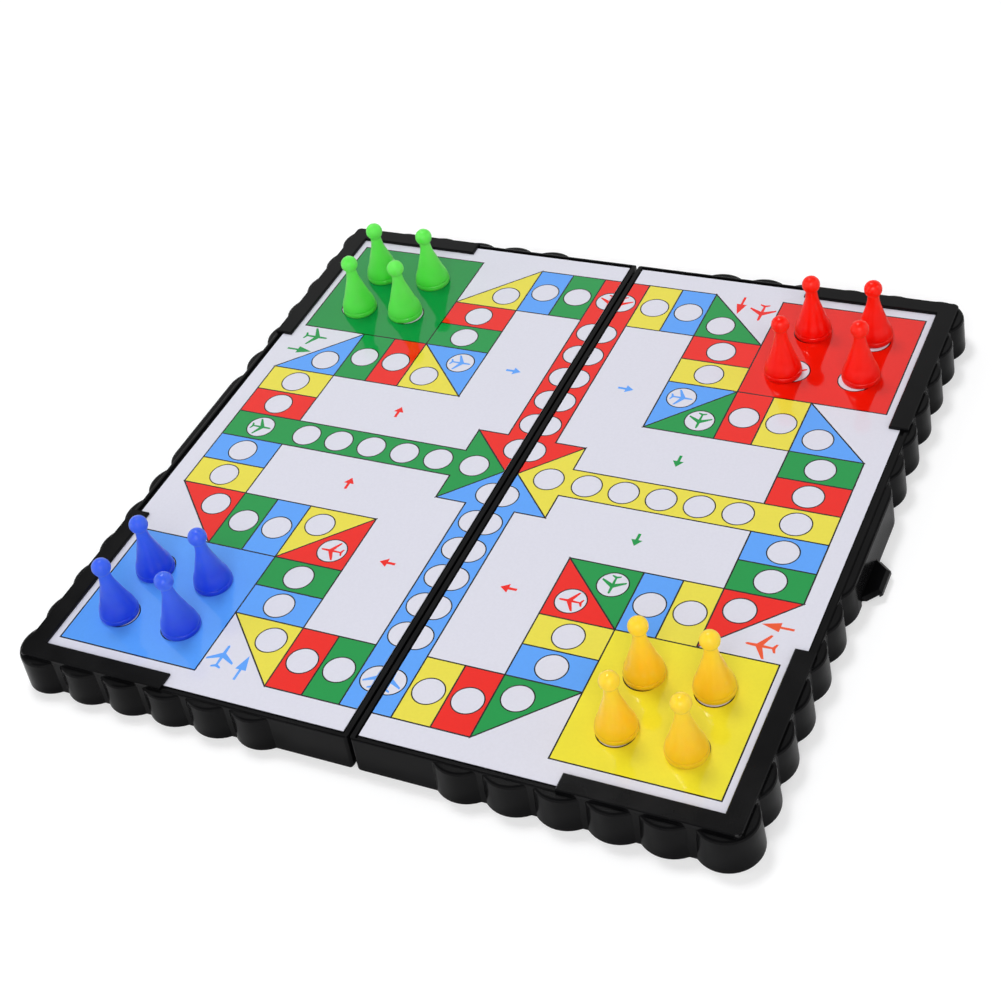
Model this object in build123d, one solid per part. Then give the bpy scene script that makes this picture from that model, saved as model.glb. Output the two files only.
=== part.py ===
from build123d import *
import math
import os

# Folding ludo board box, opened flat. Millimetres, +Z up, X across the hinge seam, Y along it.
# Origin: middle of the hinge seam, on the plane that the two trays' open mouths rest on.

# ---- heights above the mouth plane ----
RIM_TOP = 10.6            # top of the thin rim round the playing surface
LEDGE_TOP = 10.2          # top of the scallops, a small step below the rim
CORNER_TOP = 11.4         # top of the raised L at each outer corner
DECK_TOP = 10.0           # floor of the recess that the board sheets lie in
DECK_T = 1.4              # thickness of that deck
STEEL_T = 0.3
PRINT_T = 0.2
SHEET_TOP = DECK_TOP + STEEL_T + PRINT_T

# ---- plan of one tray (the right one; the left is its mirror image) ----
HINGE_FACE = 0.35         # half of the seam between the two hinge walls
WALL_X = 97.9             # outer wall between scallops, at the mouth
WALL_Y = 97.2
DRAFT = 3.2               # degrees: the mould's walls lean in towards the top
WALL = 1.6                # wall thickness
WALL_CORNER_R = 2.2       # upright outer corners, at the mouth
RIM_EDGE = 0.35           # rounding of the rim's top edge
SCALLOP_EDGE = 0.7        # and of the scallops' tops
SCALLOP_R = 8.9           # radius of one scallop
SCALLOP_OUT = 2.1         # how far a scallop stands out of the wall
SCALLOP_PITCH = 12.8
SCALLOP_FIRST = 27.9      # middle of the first scallop, from the board's middle line
SCALLOPS = 5              # on each side of each middle line
LONG_LOBE_END = 15.85     # centre of the end arcs of the long lobe on the side wall
CORNER_R = 8.2            # the big lobe round each outer corner
CORNER_X = WALL_X - 5.9   # its centre, in from the walls
CORNER_Y = WALL_Y - 6.2
RECESS_X = WALL_X - 1.6   # recess for the sheets, outer edges
RECESS_Y = WALL_Y - 1.3
RIM_HINGE = 1.25          # width of the rim along the seam
SEAM_CORNER_R = 1.0       # upright corner at each end of the seam

# ---- raised L at each outer corner ----
L_WIDE_X = 4.3            # from its inner edge to the recess's edge, on the side
L_WIDE_Y = 4.5            # and along the front and back
L_LONG_X = 42.8           # length of the arm along the front and back, from the recess's edge
L_LONG_Y = 54.9           # length of the arm along the side
L_EDGE = 0.25             # chamfer round its top
L_GAP = 0.05              # over the printed sheet

# ---- board sheets ----
SHEET_IN = 2.1            # edge along the seam
SHEET_X = RECESS_X - 1.3
SHEET_Y = RECESS_Y - 1.1
STEEL_INSET = 0.3         # the steel is this much smaller all round
SHEET_CLEAR = 0.15        # between a sheet's corner and the L's root

# ---- hinge links: two eyes, one axis in each tray ----
PIVOT_Z = 1.8             # axis above the mouth plane, and radius of the hinge bead
MOUTH_GAP = 0.1           # between the two mouths when the box is shut
PIVOT_X = PIVOT_Z + MOUTH_GAP / 2
EYE_R = 1.45
WEB_T = 1.7
LINK_L = 12.0
LINK_AT = WALL_Y - 11.2   # middle of the front and back links from the middle one
LINK_END_GAP = 0.25
NOTCH_CLEAR = 0.45        # round a link's eye
TRUNNION_R = 0.8
TRUNNION_L = 2.6
RUNNING_GAP = 0.05        # radial, pin in its socket
SOCKET_END_GAP = 0.3

# ---- clasp ----
CLASP_Y = -6.3            # middle of the clasp along the side wall
CLASP_AXIS_X = WALL_X + 1.0
CLASP_AXIS_Z = 1.3
CLASP_OPEN = 12.0         # degrees above the horizontal, as it lies in the photograph
CLASP_L = 5.5             # from the axis to the lip's end
CLASP_T = 1.1
CLASP_OUT = 1.05          # outer face from the axis, and radius of the knuckle
CLASP_ROOT = 6.9          # half width at the knuckle
CLASP_TIP = 3.9           # half width at the lip
CLASP_STRAIGHT = 2.3      # from the axis to where the sides slope in
LIP_OUT = 0.65            # the lip's reach past the plate's inner face
LIP_T = 0.7
LIP_CHAMFER = 0.8
CLASP_PIN_R = 0.45
CLASP_PIN_L = 1.4
CLASP_SIDE_GAP = 0.2
POCKET_FLOOR = 1.3        # pocket depth behind the clasp's axis
POCKET_ROOF = 2.9
BACKING_T = 1.6           # plastic behind a pocket
BACKING_SIDE = 2.4        # and past its ends
CATCH_GAP = 0.15          # clasp's inner face to the lug, and lip's tip to the pocket
CATCH_L = 6.0
CATCH_T = 0.9
CATCH_END_GAP = 0.1       # lip under the lug
CATCH_POCKET_END = 0.4

# ---- pawns ----
PAWN_BASE_R = 4.9
PAWN_FOOT_R = 5.25        # widest, just above the foot
PAWN_FOOT_Z = 1.3
PAWN_HIP_R = 4.83         # a little fuller than a straight cone
PAWN_HIP_Z = 3.1
PAWN_CONE_R = 4.08        # the straight cone's two ends
PAWN_CONE_Z = 4.9
PAWN_WAIST_R = 2.27
PAWN_WAIST_Z = 10.5
PAWN_NECK_R = 1.6
PAWN_BALL_R = 2.5
PAWN_H = 19.15
MAGNET_R = 3.5
MAGNET_T = 2.0
MAGNET_GAP = 0.1          # round the magnet, and its recess above the foot
PAWN_SPOTS = {            # where the pawns stand in the photograph
    "green": [(-77.0, 75.2), (-60.1, 75.6), (-76.7, 57.9), (-61.4, 58.8)],
    "red": [(60.8, 76.5), (77.9, 78.0), (58.0, 57.4), (79.2, 60.0)],
    "blue": [(-78.9, -76.1), (-59.7, -76.0), (-78.0, -59.6), (-59.7, -59.6)],
    "yellow": [(60.6, -58.0), (77.9, -57.6), (60.3, -75.5), (78.0, -77.1)],
}

REACH_IN = 30.0           # how far a cutting block runs past the seam, so draft stays off it
THROUGH = 5.0             # how far a cut runs past a face


def block(x0, x1, y0, y1, z0, z1):
    """A box from its six faces."""
    return Pos((x0 + x1) / 2, (y0 + y1) / 2, (z0 + z1) / 2) * Box(x1 - x0, y1 - y0, z1 - z0)


def rod(x, z, r, y0, y1):
    """A round rod along Y."""
    return Pos(x, (y0 + y1) / 2, z) * Rot(90, 0, 0) * Cylinder(r, y1 - y0)


def wall_plan(inset):
    """The plain wall's outline, run past the seam so that only three sides are real."""
    x1 = WALL_X - inset
    return Pos((x1 - REACH_IN) / 2, 0) * RectangleRounded(x1 + REACH_IN, 2 * (WALL_Y - inset), WALL_CORNER_R - inset)


def scallop_plan(inset):
    """Wall, scallops, long side lobe and corner lobes, all drawn in by the inset."""
    r = SCALLOP_R - inset
    front = WALL_Y + SCALLOP_OUT - SCALLOP_R
    side = WALL_X + SCALLOP_OUT - SCALLOP_R
    along = [SCALLOP_FIRST + k * SCALLOP_PITCH for k in range(SCALLOPS)]
    spots = [(u, s * front) for u in along for s in (1, -1)]
    spots += [(side, s * u) for u in along for s in (1, -1)]
    plan = wall_plan(inset)
    plan += [Pos(*p) * Circle(r) for p in spots]
    plan += [Pos(side, s * LONG_LOBE_END) * Circle(r) for s in (1, -1)]
    plan += Pos(side, 0) * Rectangle(2 * r, 2 * LONG_LOBE_END)
    plan += [Pos(CORNER_X, s * CORNER_Y) * Circle(CORNER_R - inset) for s in (1, -1)]
    return plan


def edged(plan, height, round_r):
    """A drafted solid, its top edge rounded in two facets; the plan is a function of its inset."""
    below = height - round_r
    lean = below * math.tan(math.radians(DRAFT))
    rise = round_r * math.sin(math.radians(45))
    solid = extrude(plan(0), below, taper=DRAFT)
    solid += extrude(Pos(0, 0, below) * plan(lean), rise, taper=22.5)
    return solid + extrude(Pos(0, 0, below + rise) * plan(lean + round_r - rise), round_r - rise, taper=67.5)


def corner_l(side):
    """One raised L, from its inner edges out to the rim, with its root beside the sheets."""
    lean = RIM_TOP * math.tan(math.radians(DRAFT))
    x_in, x_rim = RECESS_X - L_WIDE_X, WALL_X - lean
    y_in, y_rim = RECESS_Y - L_WIDE_Y, WALL_Y - lean
    arms = block(RECESS_X - L_LONG_X, x_rim, y_in, y_rim, DECK_TOP, CORNER_TOP)
    arms += block(x_in, x_rim, RECESS_Y - L_LONG_Y, y_rim, DECK_TOP, CORNER_TOP)
    outer = arms.edges().filter_by(Axis.Z).sort_by(lambda e: e.center().X + e.center().Y)[-1]
    arms = fillet(outer, WALL_CORNER_R - lean)
    arms = chamfer(arms.faces().sort_by(Axis.Z)[-1].edges(), L_EDGE)
    under = SHEET_TOP + L_GAP
    arms -= block(0, SHEET_X + SHEET_CLEAR, 0, SHEET_Y + SHEET_CLEAR, DECK_TOP - THROUGH, under)
    return arms if side > 0 else mirror(arms, Plane.XZ)


def hinge_bead():
    """Round bead along the bottom of the hinge wall; it holds the links' sockets."""
    half = WALL_Y - WALL
    return rod(PIVOT_X, PIVOT_Z, PIVOT_Z, -half, half)


def seam_corner():
    """What is taken off the bottom corner so that a tray can roll on its links."""
    reach = WALL_Y + THROUGH
    corner = block(-THROUGH, PIVOT_X, -reach, reach, -THROUGH, PIVOT_Z)
    return corner - rod(PIVOT_X, PIVOT_Z, PIVOT_Z, -reach, reach)


def link_space(y):
    """Notch for one link and the blind sockets for its trunnions."""
    half = LINK_L / 2 + LINK_END_GAP
    past = EYE_R + NOTCH_CLEAR
    notch = block(-THROUGH, PIVOT_X + past, y - half, y + half, -THROUGH, PIVOT_Z + past)
    deep = LINK_L / 2 + TRUNNION_L + SOCKET_END_GAP
    return notch + rod(PIVOT_X, PIVOT_Z, TRUNNION_R + RUNNING_GAP, y - deep, y + deep)


def plain_tray():
    """The moulding that both halves share: shell, deck, rim, corners, hinge bead and sockets."""
    shell = edged(scallop_plan, LEDGE_TOP, SCALLOP_EDGE) + edged(wall_plan, RIM_TOP, RIM_EDGE)
    past_y = WALL_Y + THROUGH
    shell -= block(-REACH_IN - THROUGH, HINGE_FACE, -past_y, past_y, -THROUGH, CORNER_TOP)
    seam_ends = shell.edges().filter_by(Axis.Z, tolerance=DRAFT + 1).group_by(Axis.X)[0]
    shell = fillet(seam_ends, SEAM_CORNER_R)
    hollow = extrude(scallop_plan(WALL), DECK_TOP - DECK_T, taper=DRAFT)
    hollow -= block(-REACH_IN - THROUGH, HINGE_FACE + WALL, -past_y, past_y, -THROUGH, CORNER_TOP)
    shell -= hollow
    shell -= block(HINGE_FACE + RIM_HINGE, RECESS_X, -RECESS_Y, RECESS_Y, DECK_TOP, CORNER_TOP)
    shell += [corner_l(s) for s in (1, -1)] + [hinge_bead()]
    shell -= block(-THROUGH, HINGE_FACE, -past_y, past_y, -THROUGH, CORNER_TOP)
    shell -= seam_corner()
    return shell - [link_space(y) for y in (-LINK_AT, 0, LINK_AT)]


def clasp_backing(roof):
    """The thicker wall behind a clasp pocket."""
    half = CLASP_ROOT + CLASP_SIDE_GAP + BACKING_SIDE
    x_in = CLASP_AXIS_X - POCKET_FLOOR - BACKING_T
    return block(x_in, CLASP_AXIS_X, CLASP_Y - half, CLASP_Y + half, 0, roof + BACKING_T)


def clasp_pocket(floor_x, roof):
    """The pocket in the side wall that the clasp's root or its end lies in."""
    half = CLASP_ROOT + CLASP_SIDE_GAP
    return block(floor_x, WALL_X + THROUGH, CLASP_Y - half, CLASP_Y + half, -THROUGH, roof)


def right_tray():
    """The tray that carries the clasp, with sockets for the clasp's pins."""
    deep = CLASP_ROOT + CLASP_PIN_L + CLASP_SIDE_GAP
    tray = plain_tray() + clasp_backing(POCKET_ROOF)
    tray -= clasp_pocket(CLASP_AXIS_X - POCKET_FLOOR, POCKET_ROOF)
    return tray - rod(CLASP_AXIS_X, CLASP_AXIS_Z, CLASP_PIN_R + RUNNING_GAP, CLASP_Y - deep, CLASP_Y + deep)


def left_tray():
    """The other tray, with the pocket and the catch lug that the clasp's lip springs over."""
    plate_in = CLASP_AXIS_X + CLASP_OUT - CLASP_T
    floor = plate_in - LIP_OUT - CATCH_GAP
    shut_end = CLASP_L - CLASP_AXIS_Z - MOUTH_GAP
    lug_top = shut_end - LIP_T - CATCH_END_GAP
    roof = shut_end + CATCH_POCKET_END
    tray = plain_tray() + clasp_backing(roof)
    tray -= clasp_pocket(floor, roof)
    tray += block(floor - WALL / 2, plate_in - CATCH_GAP, CLASP_Y - CATCH_L / 2, CLASP_Y + CATCH_L / 2,
                  lug_top - CATCH_T, lug_top)
    return mirror(tray, Plane.YZ)


def hinge_link(y):
    """Two round eyes on a web that reaches down to the table, with a trunnion at each end of each eye."""
    y0, y1 = y - LINK_L / 2, y + LINK_L / 2
    link = block(-PIVOT_X, PIVOT_X, y0, y1, 0, PIVOT_Z + WEB_T / 2)
    for x in (-PIVOT_X, PIVOT_X):
        link += rod(x, PIVOT_Z, EYE_R, y0, y1)
        link += rod(x, PIVOT_Z, TRUNNION_R, y0 - TRUNNION_L, y1 + TRUNNION_L)
    return link


def latch_clasp():
    """Tapering flap with a knuckle, two pins and an inward lip; drawn closed, then swung open."""
    outer = [(CLASP_L, CLASP_TIP), (CLASP_STRAIGHT, CLASP_ROOT), (0, CLASP_ROOT)]
    plan = Polygon(*[(d, -w) for d, w in reversed(outer)], *outer, align=None)
    plate = extrude(Pos(0, 0, CLASP_OUT - CLASP_T) * plan, CLASP_T)
    lip = extrude(Pos(0, 0, CLASP_OUT - CLASP_T - LIP_OUT) * plan, LIP_OUT + CLASP_T)
    plate += lip & block(CLASP_L - LIP_T, CLASP_L, -CLASP_ROOT, CLASP_ROOT, -CLASP_L, CLASP_L)
    rim = plate.faces().sort_by(Axis.Z)[-1].edges()
    plate = chamfer([e for e in rim if e.center().X > CLASP_STRAIGHT], LIP_CHAMFER)
    flap = plate + rod(0, 0, CLASP_OUT, -CLASP_ROOT, CLASP_ROOT)
    flap += rod(0, 0, CLASP_PIN_R, -CLASP_ROOT - CLASP_PIN_L, CLASP_ROOT + CLASP_PIN_L)
    return Pos(CLASP_AXIS_X, CLASP_Y, CLASP_AXIS_Z) * Rot(0, -CLASP_OPEN, 0) * flap


def sheet(side, inset, z, thick):
    """Half of the board: a thin sheet in a tray's recess."""
    one = block(SHEET_IN + inset, SHEET_X - inset, -SHEET_Y + inset, SHEET_Y - inset, z, z + thick)
    return one if side > 0 else mirror(one, Plane.YZ)


def pawn():
    """Turned pawn: rounded foot, flared body, neck and ball, with a pocket for its magnet."""
    ball_z = PAWN_H - PAWN_BALL_R
    neck_z = ball_z - math.sqrt(PAWN_BALL_R ** 2 - PAWN_NECK_R ** 2)
    foot = ThreePointArc((PAWN_BASE_R, 0), (PAWN_FOOT_R - (PAWN_FOOT_R - PAWN_BASE_R) / 4, PAWN_FOOT_Z / 2),
                         (PAWN_FOOT_R, PAWN_FOOT_Z))
    waist = (PAWN_WAIST_R, PAWN_WAIST_Z)
    hip = ThreePointArc((PAWN_FOOT_R, PAWN_FOOT_Z), (PAWN_HIP_R, PAWN_HIP_Z), (PAWN_CONE_R, PAWN_CONE_Z))
    cone = Line((PAWN_CONE_R, PAWN_CONE_Z), waist)
    neck = TangentArc(waist, (PAWN_NECK_R, neck_z), tangent=cone % 1)
    ball = ThreePointArc((PAWN_NECK_R, neck_z), (PAWN_BALL_R, ball_z), (0, PAWN_H))
    base = Line((0, 0), (PAWN_BASE_R, 0))
    profile = make_face([base, foot, hip, cone, neck, ball, Line((0, PAWN_H), (0, 0))])
    solid = revolve(Plane.XZ * profile, Axis.Z)
    pocket = Pos(0, 0, (MAGNET_T + MAGNET_GAP) / 2) * Cylinder(MAGNET_R + MAGNET_GAP, MAGNET_T + MAGNET_GAP)
    return solid - pocket


def magnet():
    """Disc magnet, seated against the top of the pawn's pocket."""
    return Pos(0, 0, MAGNET_GAP + MAGNET_T / 2) * Cylinder(MAGNET_R, MAGNET_T)


parts = {
    "right_tray": right_tray(),
    "left_tray": left_tray(),
    "latch_clasp": latch_clasp(),
    "hinge_link_front": hinge_link(-LINK_AT),
    "hinge_link_middle": hinge_link(0),
    "hinge_link_back": hinge_link(LINK_AT),
}
for name, side in (("right", 1), ("left", -1)):
    parts[name + "_steel_sheet"] = sheet(side, STEEL_INSET, DECK_TOP, STEEL_T)
    parts[name + "_printed_sheet"] = sheet(side, 0, DECK_TOP + STEEL_T, PRINT_T)
one_pawn, one_magnet = pawn(), magnet()
for colour, spots in PAWN_SPOTS.items():
    for n, (x, y) in enumerate(spots, 1):
        place = Pos(x, y, SHEET_TOP)
        parts[f"{colour}_pawn_{n}"] = place * one_pawn
        parts[f"{colour}_pawn_magnet_{n}"] = place * one_magnet

os.makedirs("parts", exist_ok=True)
for name, shape in parts.items():
    solids = shape.solids()
    print(name, len(solids), "solid", round(shape.volume, 1), "mm3", shape.is_valid)
    export_step(solids[0] if len(solids) == 1 else Compound(solids), f"parts/{name}.step")
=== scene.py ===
# %% [markdown]
# # A folding ludo board box, dressed in Blender
# The imported CAD model is the frame: two black trays on a link hinge, a clasp, two steel sheets, two
# printed sheets, and sixteen pawns with magnets. This notebook keeps every size of it and adds what
# CAD doesn't have: the printed board, the pawns' smooth turned skin, and the finish of each plastic
# and metal. The first cell loads the frame, and the boxes of its parts later place the print and the
# pawns.

import math

import bpy
import numpy as np
from mathutils import Matrix, Vector
from mathutils.geometry import delaunay_2d_cdt


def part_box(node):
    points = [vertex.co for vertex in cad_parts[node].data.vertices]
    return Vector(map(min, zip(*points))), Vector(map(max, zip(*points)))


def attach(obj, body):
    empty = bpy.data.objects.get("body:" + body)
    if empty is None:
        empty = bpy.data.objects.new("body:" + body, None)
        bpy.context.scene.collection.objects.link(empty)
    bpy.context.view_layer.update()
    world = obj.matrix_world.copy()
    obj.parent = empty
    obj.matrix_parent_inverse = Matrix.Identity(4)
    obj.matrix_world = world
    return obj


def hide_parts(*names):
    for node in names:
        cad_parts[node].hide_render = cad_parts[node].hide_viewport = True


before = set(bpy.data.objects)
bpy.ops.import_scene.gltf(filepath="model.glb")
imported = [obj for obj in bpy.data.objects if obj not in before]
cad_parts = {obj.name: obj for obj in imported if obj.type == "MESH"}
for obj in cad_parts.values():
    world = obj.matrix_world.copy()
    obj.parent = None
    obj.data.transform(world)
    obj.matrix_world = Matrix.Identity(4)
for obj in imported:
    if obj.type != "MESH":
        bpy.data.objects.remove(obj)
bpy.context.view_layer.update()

# %% [markdown]
# ## The camera
# A photograph fixes its camera by where known points fall in it. The printed grid has about a hundred
# such points, so the camera's place, its three directions and its lens were worked out from them.
# Blender's camera looks along its own minus Z with Y up, so the matrix takes the directions as
# right, up and backwards. Setting the whole matrix is exact, where aiming by eye never is.

# %% Camera
RIGHT = np.array([0.902061, 0.403520, -0.153156])     # unit directions of the picture's own axes
DOWN = np.array([0.171004, -0.659950, -0.731590])
FORWARD = np.array([-0.396287, 0.633749, -0.664319])
EYE = np.array([0.19185, -0.31506, 0.32919])          # metres
LENS, SENSOR = 64.99, 36.0                            # mm
NEAREST, FURTHEST = 0.01, 50.0                        # what the camera can see lies between, metres


def add(name, data):
    """Puts a new object into the scene, at the origin."""
    new = bpy.data.objects.new(name, data)
    bpy.context.scene.collection.objects.link(new)
    return new


def photo_camera(eye, right, down, forward):
    """Camera whose columns are right, minus down and minus forward."""
    data = bpy.data.cameras.new("photo_camera")
    data.sensor_width, data.lens = SENSOR, LENS
    data.clip_start, data.clip_end = NEAREST, FURTHEST
    camera = add("photo_camera", data)
    turn = np.eye(4)
    turn[:3, 0], turn[:3, 1], turn[:3, 2], turn[:3, 3] = right, -down, -forward, eye
    camera.matrix_world = Matrix(turn.tolist())
    return camera


bpy.context.scene.camera = photo_camera(EYE, RIGHT, DOWN, FORWARD)
print("camera looks down", round(math.degrees(math.asin(-FORWARD[2])), 1), "degrees")

# %% [markdown]
# ## Nodes in a few words
# Every finish below is a small tree of shader nodes. A few helpers keep those trees readable: `node`
# adds one node, `feed` sets an input to a plain number or links it to another node's output, and
# `ink` turns a colour as a paint program shows it into the linear values that a shader wants. The
# others each make one small pattern: noise, a band of colours, a range of roughness, a bump.

# %% Shader helpers


def ink(red, green, blue):
    """Linear colour of 0 to 255 screen values: ((c + 0.055) / 1.055) ** 2.4 above the toe."""
    c = np.array([red, green, blue]) / 255.0
    linear = np.where(c <= 0.04045, c / 12.92, ((c + 0.055) / 1.055) ** 2.4)
    return (*linear.tolist(), 1.0)


def feed(tree, target, inputs):
    """Gives a node's inputs their values: a number or a colour is set, an output is linked."""
    for name, value in inputs.items():
        if isinstance(value, bpy.types.NodeSocket):
            tree.links.new(value, target.inputs[name])
        else:
            target.inputs[name].default_value = value


def node(tree, kind, inputs=None, **settings):
    """Adds a node, sets its properties and feeds its inputs."""
    new = tree.nodes.new(kind)
    for name, value in settings.items():
        setattr(new, name, value)
    feed(tree, new, inputs or {})
    return new


def maths(tree, operation, *values):
    """Result of one sum on numbers or on other nodes' outputs."""
    return node(tree, "ShaderNodeMath", dict(enumerate(values)), operation=operation).outputs[0]


def cleared_tree(owner):
    """The node tree of a material or a world, with nothing in it."""
    owner.use_nodes = True
    owner.node_tree.nodes.clear()
    return owner.node_tree


def empty_material(name):
    """A material with a clear tree, its shader and its output."""
    material = bpy.data.materials.new(name)
    tree = cleared_tree(material)
    shader = node(tree, "ShaderNodeBsdfPrincipled")
    node(tree, "ShaderNodeOutputMaterial", {"Surface": shader.outputs["BSDF"]})
    return material, tree, shader


def noise_at(tree, scale, detail, stretch=(1.0, 1.0, 1.0), roughness=0.5):
    """Noise fixed to the object: its size is 1 / scale metres, and stretch squeezes it along an axis."""
    place = node(tree, "ShaderNodeTexCoord").outputs["Object"]
    squeeze = node(tree, "ShaderNodeMapping", {"Vector": place, "Scale": stretch}).outputs["Vector"]
    noise = node(tree, "ShaderNodeTexNoise",
                 {"Vector": squeeze, "Scale": scale, "Detail": detail, "Roughness": roughness})
    return noise.outputs["Fac"]


def ramp(tree, source, stops):
    """Colours or greys laid along a 0 to 1 value; each stop is (place, colour)."""
    band = node(tree, "ShaderNodeValToRGB", {"Fac": source})
    for _ in range(len(stops) - 2):
        band.color_ramp.elements.new(0.5)
    for element, (place, colour) in zip(band.color_ramp.elements, stops):
        element.position = place
        element.color = colour
    return band.outputs["Color"]


def spread(tree, source, low, high):
    """Stretches the middle of a noise, where most of it lies, to the range from low to high."""
    stretch = node(tree, "ShaderNodeMapRange",
                   {"Value": source, "From Min": 0.3, "From Max": 0.7, "To Min": low, "To Max": high})
    return stretch.outputs["Result"]


def relief(tree, source, height, strength, below=None):
    """Bump from a 0 to 1 value, of that height in metres, laid over another bump if one is given."""
    inputs = {"Height": source, "Distance": height, "Strength": strength}
    if below is not None:
        inputs["Normal"] = below
    return node(tree, "ShaderNodeBump", inputs).outputs["Normal"]


print("a mid grey of 128 is", round(ink(128, 128, 128)[0], 3), "in linear light")

# %% [markdown]
# ## Black moulded plastic
# The trays are injection moulded polystyrene: almost no colour of their own, and a satin skin that
# shows its surroundings. Three things make it read as plastic rather than as a black hole: a fine
# grain from the mould, a slow wave where the plastic shrank behind the walls, and a roughness that
# changes a little from place to place, as handling polishes it.

# %% Moulded plastics
MOTTLE, GRAIN, SHRINK = 90.0, 2600.0, 45.0        # how many of each to a metre
GRAIN_HEIGHT, SHRINK_HEIGHT = 0.00002, 0.0004     # metres
SHRINK_STRENGTH = 0.12


def moulded_plastic(name, dark, light, rough, grain, specular):
    """Near-black plastic: mottled colour and roughness, fine grain and a slow shrink wave."""
    material, tree, shader = empty_material(name)
    mottle = noise_at(tree, MOTTLE, detail=5.0)
    fine = noise_at(tree, GRAIN, detail=3.0)
    wave = relief(tree, noise_at(tree, SHRINK, detail=1.0), SHRINK_HEIGHT, SHRINK_STRENGTH)
    feed(tree, shader, {
        "Base Color": ramp(tree, mottle, [(0.35, dark), (0.65, light)]),
        "Roughness": spread(tree, mottle, *rough),
        "Specular IOR Level": specular,
        "Normal": relief(tree, fine, GRAIN_HEIGHT, grain, below=wave)})
    return material


TRAY_PLASTIC = moulded_plastic("black_moulded_plastic", ink(9, 9, 10), ink(14, 14, 15),
                               rough=(0.14, 0.24), grain=0.25, specular=0.11)
HINGE_PLASTIC = moulded_plastic("hinge_link_plastic", ink(9, 9, 9), ink(13, 13, 14),
                                rough=(0.3, 0.42), grain=0.3, specular=0.15)
CLASP_PLASTIC = moulded_plastic("polished_clasp_plastic", ink(6, 6, 7), ink(10, 10, 11),
                                rough=(0.12, 0.2), grain=0.1, specular=0.25)
print("plastics:", TRAY_PLASTIC.name, HINGE_PLASTIC.name, CLASP_PLASTIC.name)

# %% [markdown]
# ## Tinned steel and ferrite
# Under each printed sheet lies a thin steel sheet, and each pawn has a magnet in its foot. Both are
# nearly hidden, yet the sheet's edge shows at the recess and the magnets show when a pawn is lifted.
# Rolled steel has long faint streaks along the rolling direction, which is noise squeezed along one
# axis. A ferrite magnet is a sintered ceramic: dark, dull and finely speckled.

# %% Metals
STREAKS, SPECKLE = 900.0, 3500.0                  # how many of each to a metre
STREAK_SQUEEZE = (1.0, 0.03, 1.0)                 # fewer along Y, so each is longer that way
STREAK_HEIGHT, SPECKLE_HEIGHT = 0.00001, 0.00003  # metres


def rolled_steel():
    """Bright steel with streaks drawn out along Y."""
    material, tree, shader = empty_material("tinned_steel")
    streaks = noise_at(tree, STREAKS, detail=6.0, stretch=STREAK_SQUEEZE)
    feed(tree, shader, {
        "Base Color": ramp(tree, streaks, [(0.3, ink(176, 178, 182)), (0.7, ink(204, 206, 210))]),
        "Roughness": spread(tree, streaks, 0.24, 0.4),
        "Metallic": 1.0,
        "Normal": relief(tree, streaks, STREAK_HEIGHT, 0.2)})
    return material


def ferrite():
    """Dark sintered disc with a fine speckle."""
    material, tree, shader = empty_material("ferrite_magnet")
    speckle = noise_at(tree, SPECKLE, detail=6.0, roughness=0.7)
    feed(tree, shader, {
        "Base Color": ramp(tree, speckle, [(0.35, ink(52, 52, 55)), (0.7, ink(84, 84, 88))]),
        "Roughness": spread(tree, speckle, 0.45, 0.65),
        "Metallic": 0.35,
        "Normal": relief(tree, speckle, SPECKLE_HEIGHT, 0.4)})
    return material


STEEL, MAGNET = rolled_steel(), ferrite()
print("metals:", STEEL.name, MAGNET.name)

# %% [markdown]
# ## Dressing the CAD nodes
# A node from the CAD already has the right shape, so it only gets its finish. The mesh stays as it
# is. Pieces that come from one mould or one sheet share one material.

# %% Finish on the CAD nodes
COLOURS = ("green", "red", "blue", "yellow")
PAWNS = [(colour, n) for colour in COLOURS for n in range(1, 5)]


def dress(name, material):
    """Puts one material on a CAD node."""
    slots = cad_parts[name].data.materials
    slots.clear()
    slots.append(material)


finishes = {"latch_clasp": CLASP_PLASTIC}
for side in ("right", "left"):
    finishes[side + "_tray"] = TRAY_PLASTIC
    finishes[side + "_steel_sheet"] = STEEL
for place in ("front", "middle", "back"):
    finishes["hinge_link_" + place] = HINGE_PLASTIC
for colour, n in PAWNS:
    finishes[f"{colour}_pawn_magnet_{n}"] = MAGNET
for name, material in finishes.items():
    dress(name, material)
print("dressed", len(finishes), "CAD nodes")

# %% [markdown]
# ## Printed film
# The board is ink under a clear glossy film. The film is the same over every colour, so one function
# makes all the inks: the colour, mottled by about a per cent as litho print is, under a smooth skin
# whose very slow wave comes from the steel sheet below. That wave bends the reflections a little,
# and it is what keeps a flat sheet from looking like a screen.

# %% Inks under film
CLOUD, WAVE = 1400.0, 28.0            # how many of each to a metre
INK_MOTTLE = 0.012                    # share by which a colour gets darker and lighter
FILM_ROUGH = (0.05, 0.09)
WAVE_HEIGHT, WAVE_STRENGTH = 0.0003, 0.05         # metres, and a share
INK_COLOURS = {
    "film_white": ink(216, 216, 228),
    "film_black": ink(12, 12, 14),
    "film_green": ink(2, 147, 66),
    "film_red": ink(233, 24, 8),
    "film_blue": ink(88, 159, 245),
    "film_yellow": ink(229, 217, 68),
    "film_start_green": ink(2, 141, 62),
    "film_start_red": ink(228, 20, 4),
    "film_start_blue": ink(86, 156, 244),
    "film_start_yellow": ink(232, 220, 44),
    "film_orange": ink(231, 82, 38),
}


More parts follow.
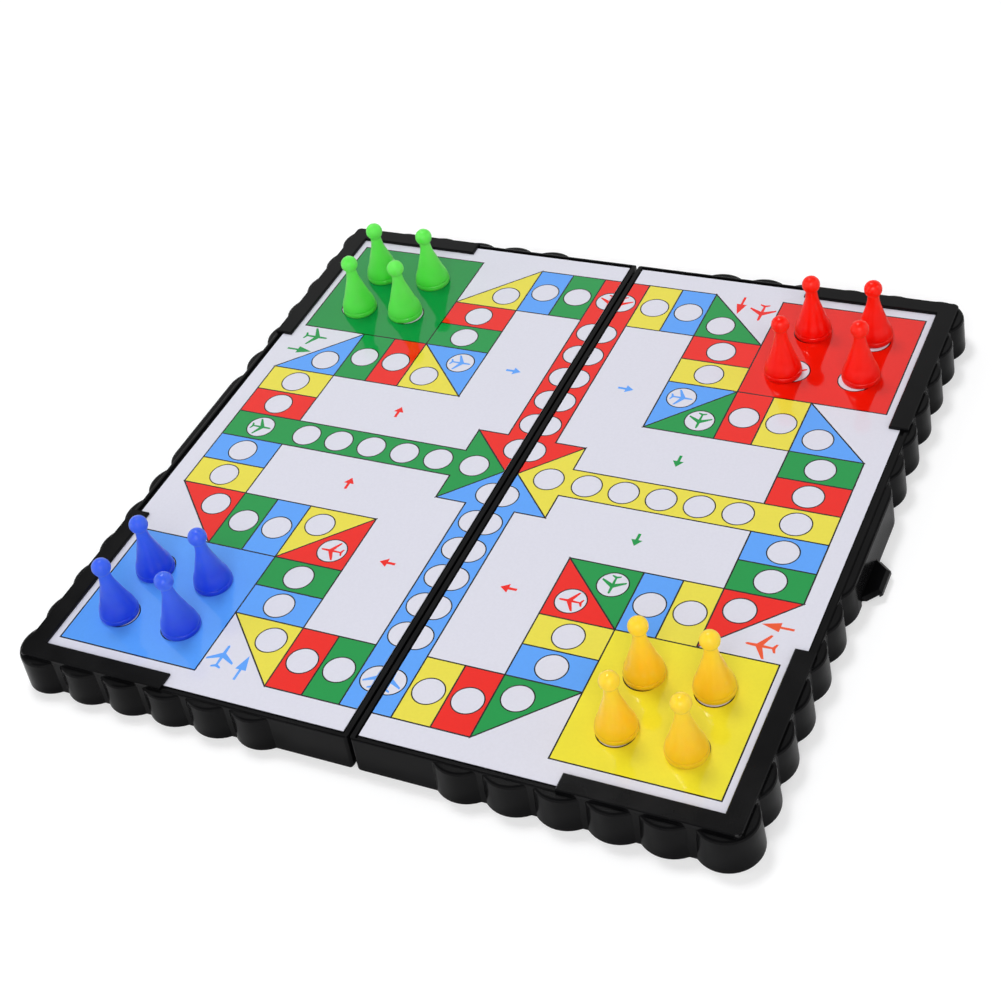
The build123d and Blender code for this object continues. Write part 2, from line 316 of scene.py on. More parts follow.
def film_ink(name, colour):
    """A printed colour under glossy film."""
    material, tree, shader = empty_material(name)
    cloud = noise_at(tree, CLOUD, detail=3.0)
    wave = noise_at(tree, WAVE, detail=1.0)
    darker, lighter = ((*(min(1.0, v * share) for v in colour[:3]), 1.0)
                       for share in (1 - INK_MOTTLE, 1 + INK_MOTTLE))
    feed(tree, shader, {
        "Base Color": ramp(tree, cloud, [(0.35, darker), (0.65, lighter)]),
        "Roughness": spread(tree, wave, *FILM_ROUGH),
        "Normal": relief(tree, wave, WAVE_HEIGHT, WAVE_STRENGTH)})
    return material


INKS = {name: film_ink(name, colour) for name, colour in INK_COLOURS.items()}
INK_INDEX = {name: i for i, name in enumerate(INKS)}
print("inks:", len(INKS))

# %% [markdown]
# ## Flat outlines for the print
# A ludo track is drawn with few outlines: cells, triangles, circles, arrows and a small aeroplane
# sign. Each is an array of corners in millimetres. Two helpers work on any of them: one draws a
# convex outline in or out by a line's half width, which gives every cell its black border, and the
# other turns, sizes and places an outline.

# %% Outline helpers
CELL = 10.5               # width of one track cell, mm
LONG = 1.9258 * CELL      # its length
LINE = 0.42               # width of a cell's printed line
RING_LINE = 0.34          # width of a circle's line
RING_R = 0.395 * CELL     # radius of a track circle
STAND_R = 0.455 * CELL    # radius of a circle that a pawn starts from
RING_CORNERS = 40


def around(points):
    """The outline in anticlockwise order, by the sign of its area."""
    x, y = points[:, 0], points[:, 1]
    area = np.sum(x * np.roll(y, -1) - np.roll(x, -1) * y)
    return points if area > 0 else points[::-1]


def grown(points, by):
    """A convex outline moved out by a distance: each corner goes to where its two moved sides meet."""
    p = around(points)
    along = np.roll(p, -1, axis=0) - p
    along /= np.linalg.norm(along, axis=1, keepdims=True)
    out = np.stack([along[:, 1], -along[:, 0]], axis=1)
    before = np.roll(out, 1, axis=0)
    share = by / (1 + np.sum(out * before, axis=1, keepdims=True))
    return p + share * (out + before)


def ring(x, y, radius):
    """A circle: (x + r cos t, y + r sin t) at even steps of t."""
    t = np.linspace(0, 2 * np.pi, RING_CORNERS, endpoint=False)
    return np.stack([x + radius * np.cos(t), y + radius * np.sin(t)], axis=1)


def placed(points, x, y, degrees=0.0, size=1.0):
    """An outline sized, turned about its own middle and moved to x, y."""
    a = math.radians(degrees)
    turn = np.array([[math.cos(a), math.sin(a)], [-math.sin(a), math.cos(a)]])
    return np.asarray(points, float) * size @ turn + (x, y)


def quarter_turn(points, times):
    """An outline turned about the board's middle by right angles."""
    return placed(points, 0, 0, 90.0 * times)


print("a cell is", CELL, "by", round(LONG, 2), "mm")

# %% [markdown]
# ## The track
# The track has four equal quarters of thirteen steps: an end triangle, five cells, a second end
# triangle, two side cells, a square cut into two triangles, and two more side cells. So one quarter
# is worked out from the cell's two sizes and the other three are right-angle turns of it. The four
# colours follow one another all the way round, which is the step's number modulo four.

# %% Track steps
ARM = 2.5 * CELL              # half width of an arm between its side cells
TIP = LONG * 2 + 4.5 * CELL   # far end of an arm from the print's middle
NECK = TIP - LONG             # where an arm's end cells begin
INSET = 0.578 * CELL          # from a triangle's square corner to its circle, each way
QUARTER = 13
STEP_INKS = ("film_blue", "film_yellow", "film_red", "film_green")


def cell(x0, x1, y0, y1):
    """Corners of a rectangle."""
    return np.array([(x0, y0), (x1, y0), (x1, y1), (x0, y1)], float)


def one_quarter():
    """The thirteen outlines of the left arm's quarter with the middle of each one's circle."""
    far = -ARM - LONG
    steps = [(np.array([(-NECK, ARM), (-TIP, ARM), (-NECK, ARM + LONG)]), (-NECK - INSET, ARM + INSET))]
    for k in (2, 1, 0, -1, -2):
        steps.append((cell(-TIP, -NECK, (k - 0.5) * CELL, (k + 0.5) * CELL), (-NECK - LONG / 2, k * CELL)))
    steps.append((np.array([(-NECK, -ARM), (-TIP, -ARM), (-NECK, far)]), (-NECK - INSET, -ARM - INSET)))
    for k in (0, 1):
        x = -NECK + k * CELL
        steps.append((cell(x, x + CELL, far, -ARM), (x + CELL / 2, -ARM - LONG / 2)))
    steps.append((np.array([(far, -ARM), (-ARM, -ARM), (far, far)]), (far + INSET, -ARM - INSET)))
    steps.append((np.array([(-ARM, far), (-ARM, -ARM), (far, far)]), (-ARM - INSET, far + INSET)))
    for k in (0, 1):
        y = far - k * CELL
        steps.append((cell(far, -ARM, y - CELL, y), (-ARM - LONG / 2, y - CELL / 2)))
    return steps


track = []
for turn in range(4):
    for k, (outline, middle) in enumerate(one_quarter()):
        name = STEP_INKS[(k + QUARTER * turn) % 4]
        track.append((name, quarter_turn(outline, turn), quarter_turn([middle], turn)[0]))
print("track steps:", len(track))

# %% [markdown]
# ## Home columns, start squares and signs
# A home column runs from an arm's middle cell to the board's middle and ends in an arrowhead, so the
# middle cell, the column and the head are one outline, with no line across. The start squares fill
# the four corners. The small signs are a plain aeroplane and a plain arrow, drawn here from a few
# corners: a body, two swept wings and a tail.

# %% Home columns, squares and signs
HOME_INKS = ("film_green", "film_blue", "film_yellow", "film_red")   # left, front, right, back
START_INKS = ("film_start_blue", "film_start_yellow", "film_start_red", "film_start_green")
HEAD = 1.3541 * CELL      # half width of the middle square, which the four arrowheads fill
HOME_RINGS = (5.93, 4.93, 3.93, 2.93, 1.93, 0.88)    # cells from the board's middle
SQUARE = 3.9623 * CELL    # side of a start square
CORNER = ARM + LONG       # its inner corner from the board's middle, each way
PLANE_HALF = np.array([(0.5, 0.0), (0.44, 0.045), (0.15, 0.06), (-0.16, 0.5), (-0.24, 0.49), (-0.06, 0.055),
                       (-0.35, 0.04), (-0.43, 0.18), (-0.5, 0.18), (-0.45, 0.0)])
PLANE = np.concatenate([PLANE_HALF, PLANE_HALF[-2:0:-1] * (1, -1)])


def arrow(head, half, stem):
    """A unit arrow along X: a head so long and so wide each way, and a stem."""
    base = 0.5 - head
    top = np.array([(0.5, 0.0), (base, half), (base, stem), (-0.5, stem)])
    return np.concatenate([top, top[:0:-1] * (1, -1)])


def home_outline(by):
    """Column and arrowhead of the left arm as one outline, moved out by a distance."""
    slant = by * (1 + math.sqrt(2))
    half = [(-TIP - by, 0.5 * CELL + by), (-HEAD - by, 0.5 * CELL + by), (-HEAD - by, HEAD + slant),
            (by * math.sqrt(2), 0.0)]
    low = [(x, -y) for x, y in half[-2::-1]]
    return np.array(half + low, float)


homes = [(HOME_INKS[turn], [quarter_turn(home_outline(by), turn) for by in (LINE / 2, -LINE / 2)])
         for turn in range(4)]
home_rings = [quarter_turn([(-x * CELL, 0.0)], turn)[0] for turn in range(4) for x in HOME_RINGS]
squares = [(START_INKS[turn],
            quarter_turn(cell(-CORNER - SQUARE, -CORNER, -CORNER - SQUARE, -CORNER), turn))
           for turn in range(4)]
print("home circles:", len(home_rings), "start squares:", len(squares))

# %% [markdown]
# ## Laying the print down in layers
# Print is laid down in layers, and a later layer hides what is below it. The list keeps that order:
# black shapes a line's half width too big, colours a half width too small, then circles and signs.

# %% Layers of the print
layers = []


def lay(name, outline):
    """Adds one outline in one ink over everything before it."""
    layers.append((name, around(np.asarray(outline, float))))


def lay_circle(x, y, radius):
    """Adds a white circle with its black line."""
    lay("film_black", ring(x, y, radius + RING_LINE / 2))
    lay("film_white", ring(x, y, radius - RING_LINE / 2))


fields = squares + [(name, outline) for name, outline, _ in track]
for name, outline in fields:
    lay("film_black", grown(outline, LINE / 2))
for _, (outer, _) in homes:
    lay("film_black", outer)
for name, outline in fields:
    lay(name, grown(outline, -LINE / 2))
for name, (_, inner) in homes:
    lay(name, inner)
for x, y in [middle for _, _, middle in track] + home_rings:
    lay_circle(x, y, RING_R)
print("layers of fields and circles:", len(layers))

# %% [markdown]
# ## Signs on the print
# The signs come last, over the circles. Some track circles hold an aeroplane, and each side of the
# board has the same four signs beside its arm, a right angle on. The start squares have four wider
# circles each, which the pawns stand on, and an aeroplane in each of those.

# %% Signs and start circles
TRACK_PLANES = {3: 0, 10: 180, 16: 90, 22: 180, 23: -90, 35: -90, 36: 0, 42: -90, 48: 0}  # step: degrees
TRACK_PLANE, START_PLANE = 6.6, 7.4      # length of an aeroplane, mm
STANDS = (5.57, 7.26)                    # start circles, in cells from the board's middle, each way
START_ARROW, FIELD_ARROW = arrow(0.58, 0.19, 0.045), arrow(0.5, 0.34, 0.09)
SIDE_INKS = [("film_green", "film_red"), ("film_blue", "film_red"),        # left, front
             ("film_orange", "film_green"), ("film_red", "film_blue")]     # right, back
SIDE_SIGNS = [                           # which of the side's two inks, outline, x, y, degrees, length
    (0, START_ARROW, -84.0, 35.0, 0, 8.2),
    (0, PLANE, -82.0, 41.9, 0, 7.9),
    (1, FIELD_ARROW, -40.5, 15.7, 90, 4.6),
    (1, FIELD_ARROW, -40.5, -15.3, 90, 4.6)]

for k, degrees in TRACK_PLANES.items():
    name, _, (x, y) = track[k]
    lay(name, placed(PLANE, x, y, degrees, TRACK_PLANE))
for turn, inks in enumerate(SIDE_INKS):
    for which, outline, x, y, degrees, length in SIDE_SIGNS:
        lay(inks[which], quarter_turn(placed(outline, x, y, degrees, length), turn))
for turn, (name, _) in enumerate(squares):
    for u, v in [(u, v) for u in STANDS for v in STANDS]:
        x, y = quarter_turn([(-u * CELL, -v * CELL)], turn)[0]
        lay_circle(x, y, STAND_R)
        lay(name, placed(PLANE, x, y, 90 * turn + 90, START_PLANE))
print("layers:", len(layers))

# %% [markdown]
# ## From layers to one skin
# A stack of flat shapes at one height would flicker. Instead the outlines cut the sheet's face into
# triangles that meet edge to edge, and each triangle takes the ink of the topmost layer that covers
# it. Blender's constrained Delaunay triangulation does the cutting, and a count of crossings tells
# which outlines hold a triangle's middle: a ray from a point inside crosses the outline an odd number
# of times.

# %% Cutting the sheet's face
MERGE = 1e-4              # corners nearer to each other than this are one, mm


def holds(outline, points):
    """Which points an outline holds: a ray along X crosses its sides an odd number of times."""
    a, b = outline, np.roll(outline, -1, axis=0)
    x, y = points[:, :1], points[:, 1:]
    spans = (a[:, 1] > y) != (b[:, 1] > y)
    rise = np.where(b[:, 1] == a[:, 1], 1.0, b[:, 1] - a[:, 1])
    crossing = a[:, 0] + (y - a[:, 1]) * (b[:, 0] - a[:, 0]) / rise
    return np.sum(spans & (x < crossing), axis=1) % 2 == 1


def clipped(outline, edge, side):
    """An outline cut off at x = edge, keeping the given side: each corner kept, then each crossing."""
    a, b = outline, np.roll(outline, -1, axis=0)
    inside = (a[:, 0] - edge) * side > 0
    crosses = inside != np.roll(inside, -1)
    run = np.where(crosses, b[:, 0] - a[:, 0], 1.0)
    cut = np.column_stack([np.full(len(a), edge), a[:, 1] + (edge - a[:, 0]) * (b[:, 1] - a[:, 1]) / run])
    return np.stack([a, cut], axis=1).reshape(-1, 2)[np.column_stack([inside, crosses]).ravel()]


def cut_sheet(window, shapes):
    """Corners and triangles inside the window, and for each triangle the last shape that holds it."""
    outlines = [window] + shapes
    sizes = [len(o) for o in outlines]
    starts = np.concatenate([[0], np.cumsum(sizes)[:-1]])
    sides = [(a + k, a + (k + 1) % n) for a, n in zip(starts.tolist(), sizes) for k in range(n)]
    corners = [Vector(p) for p in np.concatenate(outlines).tolist()]
    verts, _, tris, *_ = delaunay_2d_cdt(corners, sides, [], 0, MERGE, False)
    verts, tris = np.array([v[:] for v in verts]), np.array([list(tri) for tri in tris])
    middles = verts[tris].mean(axis=1)
    kept = holds(window, middles)
    tris, middles = tris[kept], middles[kept]
    last = np.full(len(tris), -1)
    for k, shape in enumerate(shapes):
        last[holds(shape, middles)] = k
    return verts, tris, last


unit = cell(0, 1, 0, 1)
print("a square holds its middle:", bool(holds(unit, np.array([[0.5, 0.5]]))[0]))

# %% [markdown]
# ## The film as a thin solid
# Each half of the print lies on its own tray, a little off the seam. The face cut above is the film's
# top. Its outer edges are carried down to a plain back, which closes the film as a thin solid in the
# very box of the CAD's sheet, and it takes that sheet's place on the tray's body.

# %% Printed films
MM = 1e3                  # the print is drawn in millimetres, and the frame is in metres
SPLIT = 0.18 * CELL       # each half of the print starts this far from the seam's middle


def rim_of(tris):
    """The outer edges of a flat mesh: those that only one triangle uses, in its own direction."""
    edges = np.concatenate([tris[:, [0, 1]], tris[:, [1, 2]], tris[:, [2, 0]]])
    keys = np.sort(edges, axis=1)
    _, first, count = np.unique(keys, axis=0, return_index=True, return_counts=True)
    return edges[first[count == 1]]


def closed_film(flat, tris, bottom_z, top_z):
    """Corners and faces of a thin solid: the triangles, the same turned over below, and a wall."""
    n, rim = len(flat), rim_of(tris)
    top, bottom = (np.column_stack([flat, np.full(n, z)]) for z in (top_z, bottom_z))
    walls = np.column_stack([rim[:, 1], rim[:, 0], rim[:, 0] + n, rim[:, 1] + n])
    return (np.concatenate([top, bottom]).tolist(),
            tris.tolist() + (tris[:, ::-1] + n).tolist() + walls.tolist())


def printed_film(side, sign):
    """One half of the board: inked top, plain sides and back, in the CAD sheet's own box."""
    low, high = (np.array(c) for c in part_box(side + "_printed_sheet"))
    window = cell(low[0] * MM, high[0] * MM, low[1] * MM, high[1] * MM)
    seam = window[0, 0] if sign > 0 else window[1, 0]
    cuts = [(name, clipped(outline + (sign * SPLIT, 0), seam, sign)) for name, outline in layers]
    cuts = [(name, outline) for name, outline in cuts if len(outline) > 2]
    flat, tris, last = cut_sheet(window, [outline for _, outline in cuts])
    used, tris = np.unique(tris, return_inverse=True)
    tris, flat = tris.reshape(-1, 3), flat[used] / MM
    verts, faces = closed_film(flat, tris, low[2], high[2])
    mesh = bpy.data.meshes.new(side + "_board_print")
    mesh.from_pydata(verts, [], faces)
    for material in INKS.values():
        mesh.materials.append(material)
    names = np.array(["film_white"] + [name for name, _ in cuts])
    inked = np.array([INK_INDEX[name] for name in names])[last + 1]
    plain = np.full(len(faces) - len(tris), INK_INDEX["film_white"])
    mesh.polygons.foreach_set("material_index", np.concatenate([inked, plain]).astype(np.int32))
    mesh.update()
    piece = add(side + "_board_print", mesh)
    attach(piece, side + "_tray_body")
    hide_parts(side + "_printed_sheet")
    spans = flat[tris][:, 1:] - flat[tris][:, :1]
    area = np.abs(np.cross(spans[:, 0], spans[:, 1])).sum() / 2
    print(piece.name, len(tris), "triangles on top, cover", round(area / np.prod(high[:2] - low[:2]), 5))


for side, sign in (("right", 1), ("left", -1)):
    printed_film(side, sign)

# %% [markdown]
# ## Pawn plastic
# The pawns are glossy and a little translucent: light goes in, wanders a few millimetres and comes
# out again, so a pawn seems to glow, and its thin neck is brighter than its foot. Subsurface
# scattering does the first, and the second is painted glow: a base colour painted brighter up the
# neck than at the foot. A smooth skin gives the sharp highlight, with slow noise in its roughness for
# fingerprints. Where the skin turns away from the eye the plastic looks paler, which a thin sheen
# stands for: Layer Weight tells how far the skin is turned.

# %% Pawn plastics
FOOT_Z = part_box("green_pawn_1")[0][2]     # height of the board's surface, where every pawn stands
# Painted glow: over this height above the foot the pawn's colour is painted brighter.
PAINTED_GLOW_RISE = 0.016                         # from there up to the brightest colour, metres
SWIRL, HANDLED = 160.0, 420.0             # swirls and rubbed places to a metre
SWIRL_SHARE = 0.35                        # how far the swirl in the plastic shifts that colour
SKIN_ROUGH, SKIN_SPECULAR = (0.14, 0.24), 0.22
SKIN_BUMP, SKIN_BUMP_STRENGTH = 0.00004, 0.12     # metres, and a share
GLOW_SHARE, GLOW_DEPTH = 0.85, 0.0035     # how much of the light goes in, and how far in metres
EDGE_FROM, EDGE_TO = 0.3, 0.85            # the pale edge grows between these two values of Facing
EDGE_ROUGH = 0.5
# The foot and neck colours are the two ends of the painted glow; the neck's is painted brighter.
PAWN_LOOKS = {            # foot, neck and edge colours, strength of the edge, reach of red, green, blue
    "green": (ink(76, 222, 66), ink(108, 228, 92), ink(190, 255, 170), 0.3, (0.3, 1.0, 0.3)),
    "red": (ink(250, 8, 2), ink(255, 34, 18), ink(255, 120, 90), 0.3, (1.0, 0.15, 0.1)),
    "blue": (ink(18, 56, 212), ink(66, 106, 228), ink(150, 180, 255), 0.5, (0.15, 0.3, 1.0)),
    "yellow": (ink(255, 186, 16), ink(255, 210, 60), ink(255, 232, 150), 0.3, (1.0, 0.7, 0.2)),
}


def painted_glow_colour(tree, deep, bright):
    """Painted glow: deep at the foot and painted brighter up the neck, with a slow swirl as the plastic
    flowed.
    """
    place = node(tree, "ShaderNodeTexCoord").outputs["Object"]
    z = node(tree, "ShaderNodeSeparateXYZ", {0: place}).outputs["Z"]
    up = node(tree, "ShaderNodeMapRange", {"Value": z, "From Min": FOOT_Z, "From Max": FOOT_Z + PAINTED_GLOW_RISE})
    swirl = noise_at(tree, SWIRL, detail=2.0)
    wander = maths(tree, "MULTIPLY_ADD", swirl, SWIRL_SHARE, up.outputs["Result"])
    return ramp(tree, wander, [(0.1, deep), (1.0, bright)])


def pale_edge(tree, veil):
    """Strength of the sheen: none on what faces the eye, rising to veil on what turns away."""
    tilt = node(tree, "ShaderNodeLayerWeight", {"Blend": 0.5}).outputs["Facing"]
    rim = node(tree, "ShaderNodeMapRange",
               {"Value": tilt, "From Min": EDGE_FROM, "From Max": EDGE_TO, "To Max": veil})
    return rim.outputs["Result"]


def pawn_plastic(name, deep, bright, edge, veil, reach):
    """Translucent moulded plastic: deep at the foot, painted glow brighter up the thin neck, pale at its
    edges.
    """
    material, tree, shader = empty_material(name)
    handled = noise_at(tree, HANDLED, detail=4.0)
    feed(tree, shader, {
        "Base Color": painted_glow_colour(tree, deep, bright),
        "Roughness": spread(tree, handled, *SKIN_ROUGH),
        "Specular IOR Level": SKIN_SPECULAR,
        "Subsurface Weight": GLOW_SHARE,
        "Subsurface Radius": reach,
        "Subsurface Scale": GLOW_DEPTH,
        "Sheen Weight": pale_edge(tree, veil),
        "Sheen Roughness": EDGE_ROUGH,
        "Sheen Tint": edge,
        "Normal": relief(tree, handled, SKIN_BUMP, SKIN_BUMP_STRENGTH)})
    return material


PAWN_PLASTIC = {colour: pawn_plastic(colour + "_pawn_plastic", *look) for colour, look in PAWN_LOOKS.items()}
print("pawn plastics:", ", ".join(PAWN_PLASTIC))

# %% [markdown]
# ## Turned pawns
# A pawn is a profile turned about its axis: a foot that rounds up from the board, the fine groove
# where the mould's ring parted, a nearly straight cone, a hollow curve into the neck, and a ball.
# The profile is a chain of arcs and lines, each given by the points it passes through, and the skin
# is that profile at even steps of the turn. It is finer than the CAD's facets, so highlights run
# smoothly, and its foot has the CAD's pocket, so the magnet still fits.

# %% Pawn profile
FOOT = ((5.1, 0.0), (5.22, 0.35), (5.25, 0.9))            # radius and height, mm
GROOVE = ((5.25, 1.2), (5.2, 1.34), (5.06, 1.44), (5.04, 1.56))   # moulding line above the foot
HIP = ((5.14, 1.7), (4.83, 3.1), (4.08, 4.9))
WAIST = (2.27, 10.5)
NECK_R, BALL_R, TALL = 1.6, 2.5, 19.15
POCKET_R, POCKET_H = 3.6, 2.1
BALL_STEPS, NECK_STEPS, CONE_STEPS, HIP_STEPS, FOOT_STEPS = 18, 12, 7, 9, 6


def arc(a, b, c, steps):
    """Points on the circle through a, b and c: its middle solves two equal-distance equations."""
    a, b, c = (np.array(p, float) for p in (a, b, c))
    middle = np.linalg.solve(2 * np.array([b - a, c - a]), [b @ b - a @ a, c @ c - a @ a])
    angles = np.unwrap([math.atan2(*(p - middle)[::-1]) for p in (a, b, c)])
    t = np.linspace(angles[0], angles[2], steps)
    radius = np.linalg.norm(a - middle)
    return middle + radius * np.column_stack([np.cos(t), np.sin(t)])


def tangent_arc(start, end, direction, steps):
    """Arc that leaves start along a direction: its middle is square to it, and as far from end."""
    start, end = np.array(start, float), np.array(end, float)
    d = np.array(direction, float) / np.linalg.norm(direction)
    square = np.array([-d[1], d[0]])
    gap = end - start
    middle = start + square * (gap @ gap) / (2 * gap @ square)
    angles = np.unwrap([math.atan2(*(p - middle)[::-1]) for p in (start, end)])
    t = np.linspace(angles[0], angles[1], steps)
    return middle + np.linalg.norm(start - middle) * np.column_stack([np.cos(t), np.sin(t)])


def pawn_profile():
    """Radius and height from the pocket's middle, out under the foot and up to the top."""
    ball_z = TALL - BALL_R
    neck = (NECK_R, ball_z - math.sqrt(BALL_R ** 2 - NECK_R ** 2))
    lean = np.array(WAIST) - np.array(HIP[2])
    t = np.linspace(math.atan2(neck[1] - ball_z, NECK_R), math.pi / 2, BALL_STEPS)
    ball = np.column_stack([BALL_R * np.cos(t), ball_z + BALL_R * np.sin(t)])
    pocket = np.array([(POCKET_R * 0.5, POCKET_H), (POCKET_R, POCKET_H), (POCKET_R, 0.0)])
    cone = np.linspace(HIP[2], WAIST, CONE_STEPS)
    hollow = tangent_arc(WAIST, neck, lean, NECK_STEPS)
    return np.concatenate([pocket, arc(*FOOT, FOOT_STEPS), np.array(GROOVE), arc(*HIP, HIP_STEPS),
                           cone[1:], hollow[1:], ball[1:-1]])


profile = pawn_profile()
print("profile:", len(profile), "points, widest", round(profile[:, 0].max(), 2), "mm")

# %% [markdown]
# Each pawn stands where the CAD's pawn stands. The middle of that node's box gives its axis, and the
# bottom of the box gives the board's surface, so no place is typed in twice.

# %% Turn the pawns
AROUND = 56               # steps of the turn
CREASE = math.radians(50)     # edges sharper than this stay sharp


def turned(points, axis_x, axis_y, foot_z):
    """Surface of revolution: (x + r cos t, y + r sin t, z), closed at both poles by one point."""
    t = np.linspace(0, 2 * np.pi, AROUND, endpoint=False)
    r, z = points[:, :1], points[:, 1:]
    grid = np.stack([axis_x + r * np.cos(t), axis_y + r * np.sin(t), foot_z + z + 0 * t], axis=2)
    rows = len(points)
    poles = [(axis_x, axis_y, foot_z + points[0, 1]), (axis_x, axis_y, foot_z + TALL / MM)]
    verts = np.concatenate([grid.reshape(-1, 3), poles])
    i, j = np.meshgrid(np.arange(rows - 1), np.arange(AROUND), indexing="ij")
    k = (j + 1) % AROUND
    quads = np.stack([i * AROUND + j, i * AROUND + k, (i + 1) * AROUND + k, (i + 1) * AROUND + j], axis=2)
    a = np.arange(AROUND)
    b = (a + 1) % AROUND
    last = (rows - 1) * AROUND
    under = np.column_stack([b, a, np.full(AROUND, rows * AROUND)])
    over = np.column_stack([last + a, last + b, np.full(AROUND, rows * AROUND + 1)])
    return verts, quads.reshape(-1, 4).tolist() + under.tolist() + over.tolist()


def turned_pawn(colour, n):
    """One pawn's skin in place of its CAD node."""
    source = f"{colour}_pawn_{n}"
    low, high = (np.array(c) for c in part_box(source))
    x, y = (low[:2] + high[:2]) / 2
    verts, faces = turned(profile / MM, x, y, low[2])
    mesh = bpy.data.meshes.new(source + "_turned")
    mesh.from_pydata(verts.tolist(), [], faces)
    mesh.shade_smooth()
    mesh.set_sharp_from_angle(angle=CREASE)
    mesh.materials.append(PAWN_PLASTIC[colour])
    piece = add(mesh.name, mesh)
    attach(piece, source + "_body")
    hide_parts(source)
    return piece


pawns = [turned_pawn(colour, n) for colour, n in PAWNS]
print("pawns:", len(pawns), "with", len(pawns[0].data.polygons), "faces each")

# %% [markdown]
# ## Floor
# The object stands on a plain white table in a wide pale room. The floor is white to the camera, yet
# it still takes the object's shadow: a diffuse surface, with a glow that only the camera sees and that
# grows with the distance. The floor is clear from below, and clear both ways where a tray hides it,
# so the trays' hollow side can be looked at and has light.

# %% Floor
FLOOR_HALF = 8                                # half a side, metres
FLOOR_GREY = (0.67, 0.67, 0.675, 1.0)
FLOOR_GLOW = 0.385                            # near the object, where its shadow has to show
GLOW_FROM, GLOW_TO = 0.35, 1.6                # the glow rises to white between these, metres out
UNDER_X, UNDER_HALF_X = 0.048, 0.04           # middle and half width of the floor hidden by each tray
UNDER_HALF_Y = 0.088


def floor_glow(tree):
    """Emission that only camera rays see, and that rises to white with the distance."""
    place = node(tree, "ShaderNodeTexCoord").outputs["Object"]
    reach = node(tree, "ShaderNodeVectorMath", {0: place}, operation="LENGTH").outputs["Value"]
    fade = node(tree, "ShaderNodeMapRange", {"Value": reach, "From Min": GLOW_FROM, "From Max": GLOW_TO,
                                             "To Min": FLOOR_GLOW, "To Max": 1.0})
    rays = node(tree, "ShaderNodeLightPath")
    strength = maths(tree, "MULTIPLY", rays.outputs["Is Camera Ray"], fade.outputs["Result"])
    return node(tree, "ShaderNodeEmission", {"Color": (1.0, 1.0, 1.0, 1.0), "Strength": strength}).outputs[0]


def floor_opening(tree):
    """One where the floor is seen from below or a tray hides it, and nought elsewhere."""
    place = node(tree, "ShaderNodeTexCoord").outputs["Object"]
    split = node(tree, "ShaderNodeSeparateXYZ", {0: place})
    from_seam = maths(tree, "ABSOLUTE", split.outputs["X"])
    across = maths(tree, "COMPARE", from_seam, UNDER_X, UNDER_HALF_X)
    along = maths(tree, "COMPARE", split.outputs["Y"], 0.0, UNDER_HALF_Y)
    below = node(tree, "ShaderNodeNewGeometry").outputs["Backfacing"]
    return maths(tree, "MAXIMUM", below, maths(tree, "MULTIPLY", across, along))


def studio_floor():
    """A wide plane: a diffuse surface plus the glow, and clear where its opening is one."""
    material = bpy.data.materials.new("studio_floor")
    tree = cleared_tree(material)
    table = node(tree, "ShaderNodeBsdfDiffuse", {"Color": FLOOR_GREY})
    lit = node(tree, "ShaderNodeAddShader", {0: table.outputs[0], 1: floor_glow(tree)})
    clear = node(tree, "ShaderNodeBsdfTransparent")
    seen = node(tree, "ShaderNodeMixShader", {0: floor_opening(tree), 1: lit.outputs[0], 2: clear.outputs[0]})
    node(tree, "ShaderNodeOutputMaterial", {"Surface": seen.outputs[0]})
    mesh = bpy.data.meshes.new("studio_floor")
    mesh.from_pydata([(x * FLOOR_HALF, y * FLOOR_HALF, 0) for x, y in ((-1, -1), (1, -1), (1, 1), (-1, 1))],
                     [], [(0, 1, 2, 3)])
    mesh.materials.append(material)
    add("studio_floor", mesh)


studio_floor()
print("floor glow:", FLOOR_GLOW)

# %% [markdown]
# ## Sky
# The world is a plain room: bright near the horizon, where the walls would be, and dim overhead, so
# that the black plastic keeps its depth. To the camera it is white, so the picture's background is
# clean without any more light on the object.

# %% Sky
LOW, HALF_UP, HIGH = 0.12, 0.45, 0.8      # heights of a direction: 0 is level, 1 is straight up
HALF_UP_SHARE = 2.2                       # the two greys' sum over this, a little under their mean


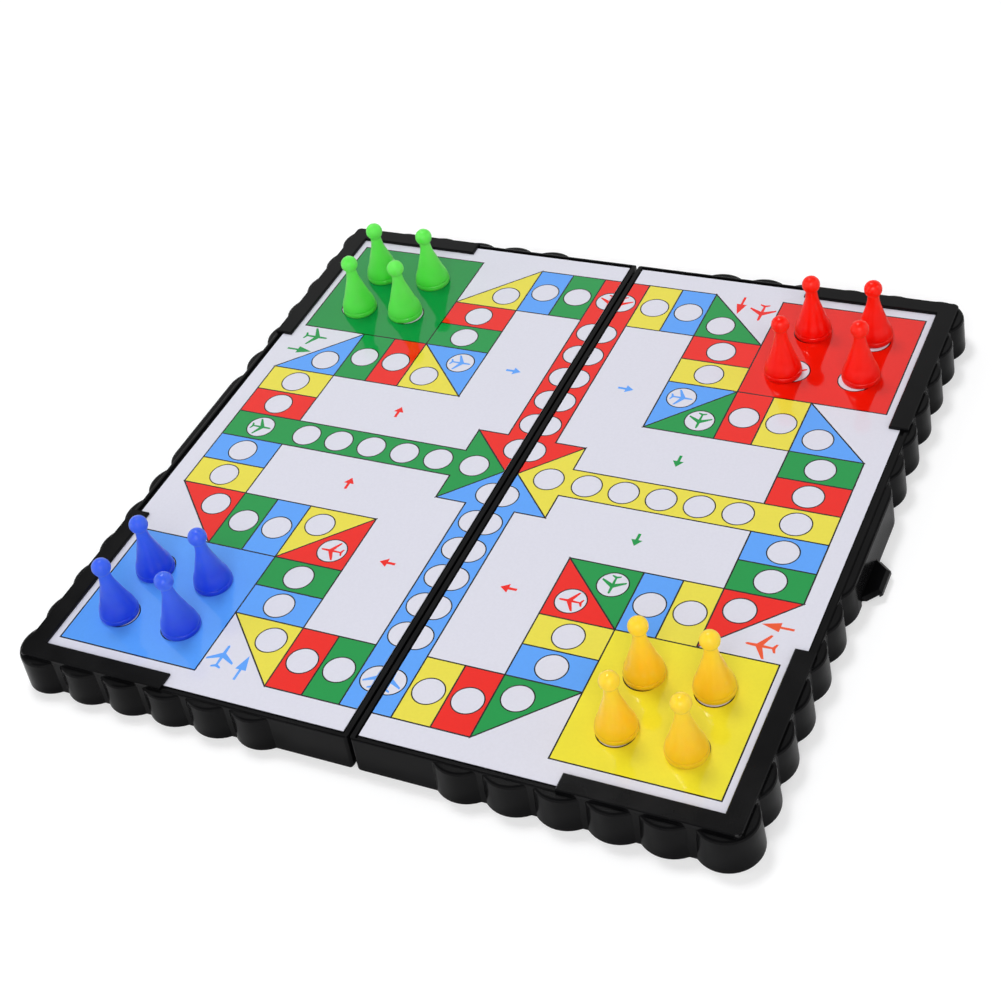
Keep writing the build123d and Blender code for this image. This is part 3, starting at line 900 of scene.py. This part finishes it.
def studio_sky(horizon, overhead):
    """World colour by height of the direction: bright low down, dark above, white to the camera."""
    world = bpy.data.worlds.new("studio_sky")
    bpy.context.scene.world = world
    tree = cleared_tree(world)
    look = node(tree, "ShaderNodeTexCoord").outputs["Generated"]
    height = node(tree, "ShaderNodeSeparateXYZ", {0: look}).outputs["Z"]
    greys = [(LOW, horizon), (HALF_UP, (horizon + overhead) / HALF_UP_SHARE), (HIGH, overhead)]
    shade = ramp(tree, height, [(place, (value, value, value, 1.0)) for place, value in greys])
    rays = node(tree, "ShaderNodeLightPath")
    lighter = maths(tree, "MAXIMUM", shade, rays.outputs["Is Camera Ray"])
    sky = node(tree, "ShaderNodeBackground", {"Color": lighter})
    node(tree, "ShaderNodeOutputWorld", {"Surface": sky.outputs[0]})
    return world


print("world:", studio_sky(horizon=0.9, overhead=0.12).name)

# %% [markdown]
# ## Lamps
# The key lamp stands back and to the left, which throws the short shadow to the front and the right.
# A wide dim lamp behind the board is what the glossy film mirrors, so each pawn shows in the film as
# the place where that lamp is hidden. The lamp beside the camera fills the pawns' fronts, and one at
# each side lifts the walls. All face the board's middle.

# %% Lamps
BOARD, PAWN_FEET = (0, 0, 0), (0, 0, 0.01)
LAMPS = {                 # place, what it faces, width and height in metres, power in watts
    "key_softbox": ((-0.34, 0.28, 1.15), BOARD, 0.3, 0.3, 5.9),
    "back_softbox": ((-0.6, 1.15, 1.15), BOARD, 1.15, 1.15, 1.9),
    "front_softbox": ((0.4, -0.95, 0.85), PAWN_FEET, 0.9, 0.7, 8.4),
    "left_softbox": ((-0.9, -0.45, 0.5), PAWN_FEET, 0.4, 0.8, 1.4),
    "right_softbox": ((0.95, 0.3, 0.5), PAWN_FEET, 0.4, 0.8, 1.2),
}


def softbox(name, place, aim, width, height, power):
    """Rectangular lamp at a place, turned to face a point."""
    data = bpy.data.lights.new(name, "AREA")
    data.shape = "RECTANGLE"
    data.size, data.size_y, data.energy = width, height, power
    lamp = add(name, data)
    lamp.location = place
    lamp.rotation_euler = (Vector(aim) - Vector(place)).to_track_quat("-Z", "Y").to_euler()


for name, setting in LAMPS.items():
    softbox(name, *setting)
bpy.context.scene.view_settings.view_transform = "Standard"
print("lamps:", len(LAMPS))
